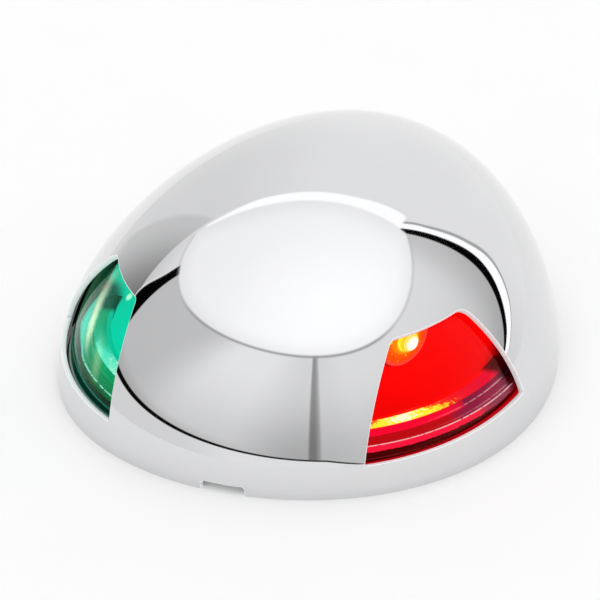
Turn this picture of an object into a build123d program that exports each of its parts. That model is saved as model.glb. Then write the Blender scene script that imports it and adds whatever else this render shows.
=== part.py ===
from build123d import *
from functools import cache
from math import cos, pi, radians, sin
import os

# Low-profile bi-colour bow light: a polished dome cover that lifts off a sealed lamp module.
# Frame: +Z up, bow towards -Y, port (red) towards +X, starboard (green) towards -X.
# The origin is the middle of the footprint, on the deck. Millimetres.

# --- cover shape: a hemisphere stretched to an egg plan, its crown leaning aft ---
HALF_WIDTH = 41.5
HALF_LENGTH = 50.0
HEIGHT = 34.0
CROWN_AFT = 6.5          # how far the crown lies aft of the middle
EGG = 0.15               # how much wider the bow half is than the stern half
SHEET = 1.0              # wall of the pressed cover

# --- windows in the cover, one each side, mirrored about the bow plane ---
WINDOW_NEAR = 21.7       # edge nearest the bow plane (x)
WINDOW_AFT = -16.3       # aft edge (y), at deck level
WINDOW_SILL = 6.4        # sill and head heights, at the aft edge
WINDOW_HEAD = 21.0
WINDOW_RAKE = 2.4        # degrees that sill and head drop towards the bow
WINDOW_CORNER = 0.4
WINDOW_AFT_CORNER = 1.2
NOTCH_WIDTH = 7.5        # pry notch in the bow rim
NOTCH_HEIGHT = 1.6
NOTCH_CORNER = 0.7

# --- how far each skin lies inside the cover's outer face ---
GRIP_INSET = 1.3         # 0.3 clear of the cover's inner face
PLATE_INSET = 1.6
MODULE_INSET = 1.8
MODULE_WALL = 1.8
LENS_FOOT = 3.6          # how far the lens foot runs inside the lens wall
LENS_STEPS = [(0.0, 1.8), (0.6, 2.7), (1.2, 3.6)]    # (distance inside the wall, height)
OVERLAP = 0.1            # how far two parts of one moulding run into each other
FIT = 0.2                # gap between loose mouldings
BORE_FIT = 0.05          # radial gap of a screw in its hole

# --- levels of the stack ---
PAD_TOP = 1.2
PLATE_TOP = 4.4
GRIP_LOW, GRIP_HIGH = 1.7, 2.9
GRIP_DEPTH = 1.3
SEAL_DEPTH, SEAL_MARGIN = 0.7, 0.35
FLOOR_LOW, FLOOR_TOP = 6.8, 8.0      # floor of each lamp chamber

# --- lamp chambers ---
CHAMBER_NEAR = 11.0
CHAMBER_AFT = -9.0
CHAMBER_HEAD = 24.5
CHAMBER_WALL = 1.2
LAMP_AT = Vector(19.9, -17.2, 13.0)  # middle of the LED board's front face
LAMP_HEADING = 56.25                 # half of the 112.5 degree sector, from dead ahead
BOARD_RADIUS = 4.9
BOARD_THICK = 1.0
LED_BASE = (2.5, 0.8)    # radius and height
LED_DOME = 1.8
BRACKET_THICK = 1.5
BRACKET_WIDTH = 5.0
BRACKET_FOOT = 4.0
BRACKET_FOOT_THICK = 1.2
BRACKET_TOP = 17.6

# --- fasteners: shank radius, head radius, head height ---
SMALL_SCREW = (1.0, 1.9, 1.2)
SMALL_SCREW_BITE = 1.5               # how far it runs below the foot plate's top
CROSS_WIDTH, CROSS_REACH = 0.6, 0.6  # drive slot: width, and reach as a part of the head's radius
PILOT_DEPTH = 1.6
POST_ROOT = 1.0                      # how far a post runs into the plate it stands on
HOUSING_SCREW = (1.45, 2.7, 1.4)
HOUSING_SCREW_LENGTH = 10.5
HOUSING_SCREW_AT = [(24.0, 14.0), (-24.0, 14.0), (7.4, -39.0), (-7.4, -39.0)]
HOUSING_POST = 3.0
MOUNT_SPACING = 66.0
MOUNT_HOLE = 2.3
WELL_OUTER, WELL_INNER = 5.6, 4.4

# --- cable entry and driver ---
GLAND_Y = -3.0
GLAND_NECK, GLAND_FLANGE, GLAND_BORE = 4.0, 6.0, 2.5
GLAND_FLANGE_THICK = 1.2
DRIVER_LOW, DRIVER_THICK = 6.4, 1.6
DRIVER_HALF = 15.0
DRIVER_Y = (6.0, 25.5)
DRIVER_CORNER = 1.5
DRIVER_POSTS = [(12.5, 9.0), (-12.5, 9.0), (12.5, 22.5), (-12.5, 22.5)]
DRIVER_POST = 2.2
DRIVER_TOP = DRIVER_LOW + DRIVER_THICK
CHIP_AT, CHIP_BODY, CHIP_LIFT = (-4.6, 16.6), (5.0, 4.0, 1.5), 0.1
CHIP_LEG, CHIP_LEGS, CHIP_PITCH = (0.4, 6.0, 0.3), 4, 1.27
COIL_AT, COIL_FLANGE, COIL_WINDING = (5.0, 18.6), (4.0, 1.0), (3.3, 3.0)     # radius and height
CAPACITOR_AT, CAPACITOR_FOOT, CAPACITOR_CAN = (-3.0, 22.6), (5.5, 5.5, 0.8), (2.6, 5.6)
DIODE_AT, DIODE_BODY = (-11.5, 16.0), (4.0, 2.6, 2.0)
RESISTORS_AT, RESISTOR_BODY = [(-0.6, 17.0), (10.6, 15.4), (12.8, 17.0)], (1.6, 3.2, 0.6)
TERMINAL = (10.0, 6.5, 7.5)
TERMINAL_Y = 9.6
TERMINAL_PITCH = 5.0
TERMINAL_ENTRY_Z, TERMINAL_ENTRY_RADIUS, TERMINAL_ENTRY_DEPTH = 2.4, 1.3, 3.0
TERMINAL_WELL_DEPTH = 3.0
TERMINAL_SCREW = (1.6, 2.6)          # radius and length
TERMINAL_SCREW_SUNK = 0.4
TERMINAL_SLOT = (0.6, 0.8)           # width and depth
LEAD_RADIUS = 0.7
LEAD_START = (13.6, 13.0)            # where the lead leaves the driver board
LEAD_RISE = 15.0
LEAD_OVER = (15.5, 0.5, 15.6)        # where it turns over the tray's back wall
LEAD_END = 4.1                       # where it meets the LED board, from the board's middle

REACH = 70.0             # longer than anything in the object
DOME_ROWS, DOME_COLUMNS = 12, 48     # points that the dome's surface is drawn through


def block(x0, x1, y0, y1, z0, z1):
    """A box given by its limits."""
    size = (x1 - x0, y1 - y0, z1 - z0)
    return Pos((x0 + x1) / 2, (y0 + y1) / 2, (z0 + z1) / 2) * Box(*size)


def rod(x, y, z0, z1, radius):
    """An upright cylinder."""
    return Pos(x, y, (z0 + z1) / 2) * Cylinder(radius, z1 - z0)


def level(z0, z1):
    """The whole layer between two heights."""
    return block(-REACH, REACH, -REACH, REACH, z0, z1)


def starboard(shape):
    """The same piece on the other side of the bow plane."""
    return mirror(shape, about=Plane.YZ)


def egg_point(climb, turn, inset):
    """A point of the dome: a unit hemisphere with its pole at the crown, then stretched."""
    across = cos(climb) * sin(turn)
    along = cos(climb) * cos(turn)
    rise = sin(climb)
    x = (HALF_WIDTH - inset) * across * (1 - EGG * along)
    y = (HALF_LENGTH - inset) * along + CROWN_AFT * rise**2
    return Vector(x, y, (HEIGHT - inset) * rise)


@cache
def egg(inset):
    """The solid dome, its surface moved inwards by about the inset; the seam is astern."""
    climbs = [pi / 2 * i / DOME_ROWS for i in range(DOME_ROWS + 1)]
    turns = [2 * pi * (j % DOME_COLUMNS) / DOME_COLUMNS for j in range(DOME_COLUMNS + 1)]
    grid = [[egg_point(climb, turn, inset) for turn in turns] for climb in climbs]
    skin = Face.make_surface_from_array_of_points(grid, tol=0.005, min_deg=3, max_deg=8)
    footprint = Face(Wire([skin.edges().sort_by(Axis.Z)[0]]))
    return Solid(Shell([skin, footprint]))


def band(outer, inner, z0, z1):
    """A ring that follows the dome's plan between two insets and two heights."""
    return (egg(outer) & level(z0, z1)) - egg(inner)


def chamber(z0, z1, clear=0.0):
    """The port lamp chamber's corner of the dome, as a block."""
    return block(CHAMBER_NEAR + clear, REACH, -REACH, CHAMBER_AFT - clear, z0, z1)


def at_lamp():
    """The port LED board's place: its local Z looks out along the lamp's heading."""
    heading = radians(LAMP_HEADING)
    out = Vector(sin(heading), -cos(heading), 0)
    return Location(Plane(origin=LAMP_AT, x_dir=Vector(cos(heading), sin(heading), 0), z_dir=out))


def bracket_foot_middle():
    """Middle of the LED bracket's foot in plan, where its screw stands."""
    back = -(BOARD_THICK + BRACKET_THICK + BRACKET_FOOT / 2)
    return (at_lamp() * Pos(0, 0, back)).position


def screw(shank, head, head_height, length):
    """A cross-slotted screw pointing down from the origin, its head above Z = 0."""
    body = rod(0, 0, 0, head_height, head) + rod(0, 0, -length, 0, shank)
    reach = head * CROSS_REACH
    slot = block(-reach, reach, -CROSS_WIDTH / 2, CROSS_WIDTH / 2, head_height / 2, HEIGHT)
    return body - slot - Rot(0, 0, 90) * slot


def tube(points, radius):
    """A round lead through the points, with tangent bends as large as the runs allow."""
    nodes = [Vector(*point) for point in points]
    edges = []
    start = nodes[0]
    for before, corner, after in zip(nodes, nodes[1:], nodes[2:]):
        inward, outward = corner - before, after - corner
        setback = 0.45 * min(inward.length, outward.length)
        bend_in = corner - inward.normalized() * setback
        bend_out = corner + outward.normalized() * setback
        edges.append(Edge.make_line(start, bend_in))
        edges.append(Edge.make_tangent_arc(bend_in, inward, bend_out))
        start = bend_out
    edges.append(Edge.make_line(start, nodes[-1]))
    section = Plane(origin=nodes[0], z_dir=nodes[1] - nodes[0]) * Circle(radius)
    return sweep(section, path=Wire(edges))


# --- the cover ---

def window():
    """Cutter for the port window: level with the rake, its four corners rounded."""
    aft = block(0, REACH, -REACH, 0, WINDOW_SILL, WINDOW_HEAD)
    head_edge = aft.edges().filter_by(Axis.X).sort_by(Axis.Y)[-2:].sort_by(Axis.Z)[-1]
    aft = fillet(head_edge, WINDOW_AFT_CORNER)
    sill_edge = aft.edges().filter_by(Axis.X).sort_by(Axis.Z)[:2].sort_by(Axis.Y)[-1]
    aft = fillet(sill_edge, WINDOW_CORNER)
    near = block(WINDOW_NEAR, REACH, -REACH, REACH, WINDOW_SILL, WINDOW_HEAD)
    near = fillet(near.edges().filter_by(Axis.Y).sort_by(Axis.X)[:2], WINDOW_CORNER)
    return Pos(0, WINDOW_AFT, 0) * Rot(WINDOW_RAKE, 0, 0) * (aft & near)


def cover():
    """Pressed and polished dome with two windows and a pry notch."""
    notch = block(-NOTCH_WIDTH / 2, NOTCH_WIDTH / 2, -REACH, -HALF_LENGTH / 2, -1, NOTCH_HEIGHT)
    notch = fillet(notch.edges().filter_by(Axis.Y).sort_by(Axis.Z)[-2:], NOTCH_CORNER)
    return egg(0) - egg(SHEET) - window() - starboard(window()) - notch


# --- base ---

def base_pad():
    """Closed-cell foam pad that seals the foot to the deck."""
    pad = egg(PLATE_INSET + 1) & level(0, PAD_TOP)
    for side in (-1, 1):
        pad -= rod(0, side * MOUNT_SPACING / 2, -1, PAD_TOP + 1, MOUNT_HOLE)
    return pad - rod(0, GLAND_Y, -1, PAD_TOP + 1, GLAND_NECK)


def base_plate():
    """Moulded foot: grip groove, seal groove, screw pockets, posts and cable hole."""
    plate = egg(PLATE_INSET) & level(PAD_TOP, PLATE_TOP)
    plate -= grip_band()
    plate -= housing_seal()
    foot = bracket_foot_middle()
    posts = [(x, y, DRIVER_LOW) for x, y in DRIVER_POSTS]
    posts += [(side * foot.X, foot.Y, FLOOR_LOW) for side in (-1, 1)]
    for x, y, top in posts:
        plate += rod(x, y, PLATE_TOP - POST_ROOT, top, DRIVER_POST)
        plate -= rod(x, y, PLATE_TOP - PILOT_DEPTH, top, SMALL_SCREW[0] + BORE_FIT)
    for side in (-1, 1):
        plate -= rod(0, side * MOUNT_SPACING / 2, 0, HEIGHT, MOUNT_HOLE)
    for x, y in HOUSING_SCREW_AT:
        plate -= rod(x, y, 0, PAD_TOP + HOUSING_SCREW[2], HOUSING_SCREW[1] + FIT)
        plate -= rod(x, y, 0, HEIGHT, HOUSING_SCREW[0] + BORE_FIT)
    return plate - rod(0, GLAND_Y, 0, HEIGHT, GLAND_NECK)


def grip_band():
    """Elastomer band in the foot's edge that the cover pushes over."""
    return band(GRIP_INSET, GRIP_INSET + GRIP_DEPTH, GRIP_LOW, GRIP_HIGH)


def housing_seal():
    """Flat seal under the lenses and the housing."""
    outside = MODULE_INSET + SEAL_MARGIN
    inside = MODULE_INSET + MODULE_WALL - SEAL_MARGIN
    return band(outside, inside, PLATE_TOP - SEAL_DEPTH, PLATE_TOP)


def cable_grommet():
    """Rubber grommet in the foot, bored for the boat's cable."""
    neck = rod(0, GLAND_Y, 0, PLATE_TOP, GLAND_NECK)
    flange = rod(0, GLAND_Y, PLATE_TOP, PLATE_TOP + GLAND_FLANGE_THICK, GLAND_FLANGE)
    return neck + flange - rod(0, GLAND_Y, 0, HEIGHT, GLAND_BORE)


# --- lamp module ---

def light_housing():
    """Opaque inner dome with two lens openings, four screw posts and two mounting wells."""
    skin = band(MODULE_INSET, MODULE_INSET + MODULE_WALL, PLATE_TOP, HEIGHT)
    opening = chamber(0, CHAMBER_HEAD)
    skin -= opening + starboard(opening)
    inside = egg(MODULE_INSET + MODULE_WALL / 2) & level(PLATE_TOP, HEIGHT)
    for x, y in HOUSING_SCREW_AT:
        skin += inside & rod(x, y, PLATE_TOP, HEIGHT, HOUSING_POST)
        pilot_top = PLATE_TOP + HOUSING_SCREW_LENGTH
        skin -= rod(x, y, 0, pilot_top, HOUSING_SCREW[0] + BORE_FIT)
    for side in (-1, 1):
        y = side * MOUNT_SPACING / 2
        skin += inside & rod(0, y, PLATE_TOP, HEIGHT, WELL_OUTER)
        skin -= rod(0, y, 0, HEIGHT, WELL_INNER)
    return skin


def port_lens():
    """Clear coloured lens: a piece of the inner dome with a foot that steps down outwards."""
    wall_inside = MODULE_INSET + MODULE_WALL
    lens = band(MODULE_INSET, wall_inside, PLATE_TOP, CHAMBER_HEAD)
    for distance, height in LENS_STEPS:
        outside = wall_inside + distance - OVERLAP
        lens += band(outside, wall_inside + LENS_FOOT, PLATE_TOP, PLATE_TOP + height)
    return lens & chamber(0, CHAMBER_HEAD)


def port_reflector():
    """White moulded tray: the chamber's floor and its two back walls."""
    behind_foot = MODULE_INSET + MODULE_WALL + LENS_FOOT + FIT
    corner = chamber(PLATE_TOP, HEIGHT)
    walls = corner - chamber(0, HEIGHT, CHAMBER_WALL)
    upper = (egg(MODULE_INSET + MODULE_WALL + FIT) & level(FLOOR_TOP + FIT, CHAMBER_HEAD)) & walls
    lower = (egg(behind_foot) & level(PLATE_TOP, CHAMBER_HEAD)) & walls
    floor = (egg(behind_foot) & level(FLOOR_LOW, FLOOR_TOP)) & corner
    tray = upper + lower + floor
    foot = bracket_foot_middle()
    tray -= rod(foot.X, foot.Y, 0, HEIGHT, SMALL_SCREW[0] + BORE_FIT)
    return tray - tube(lead_route(), LEAD_RADIUS + FIT)


def port_led_bracket():
    """Folded aluminium bracket that carries the LED board and takes its heat."""
    height = BRACKET_TOP - FLOOR_TOP
    middle = (BRACKET_TOP + FLOOR_TOP) / 2 - LAMP_AT.Z
    back = -(BOARD_THICK + BRACKET_THICK / 2)
    leaf = Pos(0, middle, back) * Box(BRACKET_WIDTH, height, BRACKET_THICK)
    foot_z = FLOOR_TOP + BRACKET_FOOT_THICK / 2 - LAMP_AT.Z
    reach = BRACKET_THICK + BRACKET_FOOT
    foot = Pos(0, foot_z, -(BOARD_THICK + reach / 2)) * Box(BRACKET_WIDTH, BRACKET_FOOT_THICK, reach)
    bracket = at_lamp() * (leaf + foot)
    at = bracket_foot_middle()
    return bracket - rod(at.X, at.Y, 0, HEIGHT, SMALL_SCREW[0] + BORE_FIT)


def port_led_board():
    """Round metal-core board behind the LED."""
    return at_lamp() * Pos(0, 0, -BOARD_THICK / 2) * Cylinder(BOARD_RADIUS, BOARD_THICK)


def port_led():
    """LED package: a round base with a clear dome."""
    base = rod(0, 0, 0, LED_BASE[1], LED_BASE[0])
    dome = (Pos(0, 0, LED_BASE[1]) * Sphere(LED_DOME)) & level(0, REACH)
    return at_lamp() * (base + dome)


def led_bracket_screws():
    """One small screw through each bracket foot into the base."""
    foot = bracket_foot_middle()
    z = FLOOR_TOP + BRACKET_FOOT_THICK
    length = z - PLATE_TOP + SMALL_SCREW_BITE
    return [Pos(side * foot.X, foot.Y, z) * screw(*SMALL_SCREW, length) for side in (-1, 1)]


def lead_route():
    """Route of the port LED's lead from the driver board to the back of the LED board."""
    end = (at_lamp() * Pos(LEAD_END, 0, -BOARD_THICK / 2)).position
    return [(*LEAD_START, DRIVER_TOP), (*LEAD_START, LEAD_RISE), LEAD_OVER, tuple(end)]


def port_led_lead():
    """Twin-core lead, cut flush on the LED board."""
    return tube(lead_route(), LEAD_RADIUS) - port_led_board()


# --- driver ---

def driver_board():
    """Constant-current driver board on four posts."""
    board = block(-DRIVER_HALF, DRIVER_HALF, *DRIVER_Y, DRIVER_LOW, DRIVER_TOP)
    board = fillet(board.edges().filter_by(Axis.Z), DRIVER_CORNER)
    for x, y in DRIVER_POSTS:
        board -= rod(x, y, 0, HEIGHT, SMALL_SCREW[0] + BORE_FIT)
    return board


def driver_board_screws():
    """Four small screws that hold the driver board."""
    length = DRIVER_TOP - PLATE_TOP + SMALL_SCREW_BITE
    return [Pos(x, y, DRIVER_TOP) * screw(*SMALL_SCREW, length) for x, y in DRIVER_POSTS]


def on_board(at, size, lift=0.0):
    """A box of the given size standing on the driver board, its middle at the given point."""
    (x, y), (length, width, height) = at, size
    low = DRIVER_TOP + lift
    return block(x - length / 2, x + length / 2, y - width / 2, y + width / 2, low, low + height)


def driver_chip():
    """Driver chip with its eight legs."""
    x, y = CHIP_AT
    chip = on_board(CHIP_AT, CHIP_BODY, CHIP_LIFT)
    for leg in range(CHIP_LEGS):
        chip += on_board((x + CHIP_PITCH * (leg - (CHIP_LEGS - 1) / 2), y), CHIP_LEG)
    return chip


def power_coil():
    """Wound choke: two flanges with the winding between them."""
    low = DRIVER_TOP + COIL_FLANGE[1]
    high = low + COIL_WINDING[1]
    flanges = rod(*COIL_AT, DRIVER_TOP, low, COIL_FLANGE[0])
    flanges += rod(*COIL_AT, high, high + COIL_FLANGE[1], COIL_FLANGE[0])
    return flanges + rod(*COIL_AT, low, high, COIL_WINDING[0])


def smoothing_capacitor():
    """Upright can capacitor on its square foot."""
    low = DRIVER_TOP + CAPACITOR_FOOT[2]
    radius, height = CAPACITOR_CAN
    return on_board(CAPACITOR_AT, CAPACITOR_FOOT) + rod(*CAPACITOR_AT, low, low + height, radius)


def input_diode():
    """Reverse-polarity diode."""
    return on_board(DIODE_AT, DIODE_BODY)


def resistors():
    """Three chip resistors."""
    return [on_board(at, RESISTOR_BODY) for at in RESISTORS_AT]


def terminal_ways():
    """Where the terminal's two ways stand (x)."""
    return (-TERMINAL_PITCH / 2, TERMINAL_PITCH / 2)


def terminal_block():
    """Two-way screw terminal for the boat's cable."""
    width, depth, height = TERMINAL
    front, top = TERMINAL_Y - depth / 2, DRIVER_TOP + height
    shell = on_board((0, TERMINAL_Y), TERMINAL)
    for x in terminal_ways():
        entry = Rot(90, 0, 0) * Cylinder(TERMINAL_ENTRY_RADIUS, 2 * TERMINAL_ENTRY_DEPTH)
        shell -= Pos(x, front, DRIVER_TOP + TERMINAL_ENTRY_Z) * entry
        shell -= rod(x, TERMINAL_Y, top - TERMINAL_WELL_DEPTH, HEIGHT, TERMINAL_SCREW[0] + BORE_FIT)
    return shell


def terminal_screws():
    """Clamp screws in the terminal block's wells."""
    radius, length = TERMINAL_SCREW
    slot, slot_depth = TERMINAL_SLOT
    top = DRIVER_TOP + TERMINAL[2] - TERMINAL_SCREW_SUNK
    y0, y1 = TERMINAL_Y - slot / 2, TERMINAL_Y + slot / 2
    return [
        rod(x, TERMINAL_Y, top - length, top, radius)
        - block(x - 2 * radius, x + 2 * radius, y0, y1, top - slot_depth, HEIGHT)
        for x in terminal_ways()
    ]


def housing_screws():
    """Four screws from below that clamp the housing to the foot."""
    z = PAD_TOP + HOUSING_SCREW[2]
    return [
        Pos(x, y, z) * Rot(180, 0, 0) * screw(*HOUSING_SCREW, HOUSING_SCREW_LENGTH)
        for x, y in HOUSING_SCREW_AT
    ]


def pairs():
    """Port pieces that have a mirrored starboard twin."""
    return {
        "lens": port_lens(),
        "reflector": port_reflector(),
        "led_bracket": port_led_bracket(),
        "led_board": port_led_board(),
        "led": port_led(),
        "led_lead": port_led_lead(),
    }


def nodes():
    """Every sub-part by name."""
    singles = [
        cover, base_pad, base_plate, grip_band, housing_seal, cable_grommet, light_housing,
        led_bracket_screws, driver_board, driver_board_screws, driver_chip, power_coil,
        smoothing_capacitor, input_diode, resistors, terminal_block, terminal_screws, housing_screws,
    ]
    parts = {make.__name__: make() for make in singles}
    for name, shape in pairs().items():
        parts["port_" + name] = shape
        parts["starboard_" + name] = starboard(shape)
    return parts


os.makedirs("parts", exist_ok=True)
for name, shape in nodes().items():
    solids = shape if isinstance(shape, list) else [shape]
    bodies = [solid for piece in solids for solid in piece.solids()]
    export_step(bodies[0] if len(bodies) == 1 else Compound(children=bodies), f"parts/{name}.step")
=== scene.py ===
"""Looks of the bi-colour bow light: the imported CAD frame, remodelled skins, materials and a light tent."""
import math

import bmesh
import bpy
from mathutils import Matrix, Vector

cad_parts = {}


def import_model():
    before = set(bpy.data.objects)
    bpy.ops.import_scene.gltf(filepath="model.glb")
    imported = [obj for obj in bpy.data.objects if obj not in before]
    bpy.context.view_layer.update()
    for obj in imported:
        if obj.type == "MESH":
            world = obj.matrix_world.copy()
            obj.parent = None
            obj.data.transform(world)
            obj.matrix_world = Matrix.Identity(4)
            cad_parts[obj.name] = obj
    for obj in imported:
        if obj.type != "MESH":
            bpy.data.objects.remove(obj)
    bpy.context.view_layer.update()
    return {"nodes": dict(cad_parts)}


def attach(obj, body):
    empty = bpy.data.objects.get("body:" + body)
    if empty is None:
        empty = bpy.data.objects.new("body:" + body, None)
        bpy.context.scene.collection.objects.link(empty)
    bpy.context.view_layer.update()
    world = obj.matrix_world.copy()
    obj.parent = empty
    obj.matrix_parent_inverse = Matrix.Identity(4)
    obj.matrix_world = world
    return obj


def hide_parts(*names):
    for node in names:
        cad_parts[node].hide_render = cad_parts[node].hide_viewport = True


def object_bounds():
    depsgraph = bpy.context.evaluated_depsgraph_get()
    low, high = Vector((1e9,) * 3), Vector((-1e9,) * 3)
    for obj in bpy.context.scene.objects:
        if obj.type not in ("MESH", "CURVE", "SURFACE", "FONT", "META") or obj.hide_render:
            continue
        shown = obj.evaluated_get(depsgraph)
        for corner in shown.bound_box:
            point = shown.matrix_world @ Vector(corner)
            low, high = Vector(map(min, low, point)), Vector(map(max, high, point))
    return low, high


MM = 0.001

# The dome's driving sizes, as in the CAD: a hemisphere stretched to an egg plan, crown leaning aft.
HALF_WIDTH, HALF_LENGTH, HEIGHT = 41.5 * MM, 50.0 * MM, 34.0 * MM
CROWN_AFT, EGG = 6.5 * MM, 0.15
SHEET = 1.0 * MM
WINDOW_NEAR, WINDOW_AFT = 21.7 * MM, -16.3 * MM
WINDOW_SILL, WINDOW_HEAD = 6.4 * MM, 21.0 * MM
WINDOW_RAKE = math.radians(2.4)
WINDOW_CORNER, WINDOW_AFT_CORNER = 0.4 * MM, 1.2 * MM
NOTCH_HALF, NOTCH_HEIGHT, NOTCH_CORNER = 3.75 * MM, 1.6 * MM, 0.7 * MM
MODULE_INSET, MODULE_WALL = 1.8 * MM, 1.8 * MM
PLATE_TOP, CHAMBER_HEAD = 4.4 * MM, 24.5 * MM
CHAMBER_NEAR, CHAMBER_AFT = 11.0 * MM, -9.0 * MM
EDGE_BULGE = 0.14        # how far a cut edge rounds out, as a part of its wall

# The lens foot's section: (inset from the dome, height), from the inner face over three steps outwards.
FOOT_SECTION = [
    (7.2, 4.4), (7.2, 8.0), (4.8, 8.0), (4.8, 7.1), (4.2, 7.1), (4.2, 6.2), (3.6, 6.2), (3.6, 4.4),
]
FOOT_BEVEL = 0.07 * MM
FLAT_DROP = 0.645        # how much a millimetre of a step's flat counts against one of its risers

LAMP_AT = Vector((19.9, -17.2, 13.0)) * MM
LAMP_HEADING = math.radians(56.25)

# The camera looks from port of the bow, from above.
CAMERA_AZIMUTH, CAMERA_ELEVATION = 19.0, 30.0
CAMERA_DISTANCE = 0.498
CAMERA_AIM = Vector((-2.7, -3.1, 8.9)) * MM
CAMERA_ROLL = -0.75
CAMERA_LENS = 175.8

# The steel's share of light, and the lenses' tints (what one lens wall lets through).
STEEL = 0.72
RED_TINT = (0.9, 0.05, 0.05)
GREEN_TINT = (0.05, 0.85, 0.6)
ACRYLIC_IOR = 1.49
GREEN_IOR = 1.2          # lower, so that the sky's mirror image doesn't grey the dark green lens
GLOW = 20.0              # strength of everything that shines behind a lens
POOL_AT = Vector((24.0, -31.8, 7.6)) * MM        # light pool on the lens foot, opposite the port LED
# SPOT_AT centres a painted bright spot of light on the starboard lens
SPOT_AT = Vector((-24.3, -26.4, 18.6)) * MM      # bright spot on the starboard lens

# Display levels of the lens foot's parts as painted light: 'line' is painted highlight, 'dark' painted shade.
PORT_FOOT = {
    "field": (250, 0, 0), "ledge_bow": (250, 40, 4), "ledge_aft": (228, 2, 46),
    "pool_rim": (251, 66, 30), "pool": (252, 240, 50), "glint": (253, 253, 210),
    "upper_bow": (247, 4, 48), "upper_aft": (120, 22, 58), "middle_bow": (180, 8, 16),
    "middle_aft": (122, 22, 60), "line": (246, 190, 194), "lower_bow": (248, 22, 60),
    "lower_aft": (118, 44, 70), "dark": (8, 0, 0),
}
STARBOARD_FOOT = {
    "field": (2, 190, 148), "ledge_bow": (40, 200, 165), "ledge_aft": (4, 150, 96),
    "pool_rim": (50, 205, 165), "pool": (90, 225, 190), "glint": (150, 240, 205),
    "upper_bow": (1, 139, 77), "upper_aft": (0, 96, 30), "middle_bow": (3, 116, 52),
    "middle_aft": (0, 110, 48), "line": (155, 235, 221), "lower_bow": (0, 84, 30),
    "lower_aft": (0, 74, 26), "dark": (0, 28, 4),
}

# Display levels round a lamp's middle, each from a radius in millimetres.
LED_RINGS = [
    (0.0, (255, 255, 253)), (1.05, (255, 255, 253)), (1.12, (252, 244, 60)), (1.26, (252, 252, 190)),
    (1.34, (252, 205, 6)), (1.48, (252, 248, 130)), (1.58, (250, 190, 2)), (1.80, (252, 235, 50)),
    (2.10, (249, 140, 4)), (3.00, (249, 88, 3)), (4.90, (250, 56, 3)),
]
GREEN_RINGS = [
    (0.0, (235, 255, 235)), (1.05, (210, 250, 225)), (1.50, (110, 235, 200)), (2.10, (60, 222, 186)),
    (4.90, (12, 208, 168)),
]


# --- colours --------------------------------------------------------------------------------------

def light(level):
    """Linear light of a display level from 0 to 255."""
    return ((level / 255 + 0.055) / 1.055) ** 2.4 if level > 10 else level / 255 / 12.92


def colour(*levels):
    """Linear colour of three display levels."""
    return tuple(light(level) for level in levels)


def behind(tint, levels):
    """Colour that shows as the given display levels through a lens of this tint, at the glow's strength."""
    return tuple(min(1.0, part / through / GLOW) for part, through in zip(colour(*levels), tint))


# --- materials ------------------------------------------------------------------------------------

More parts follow.
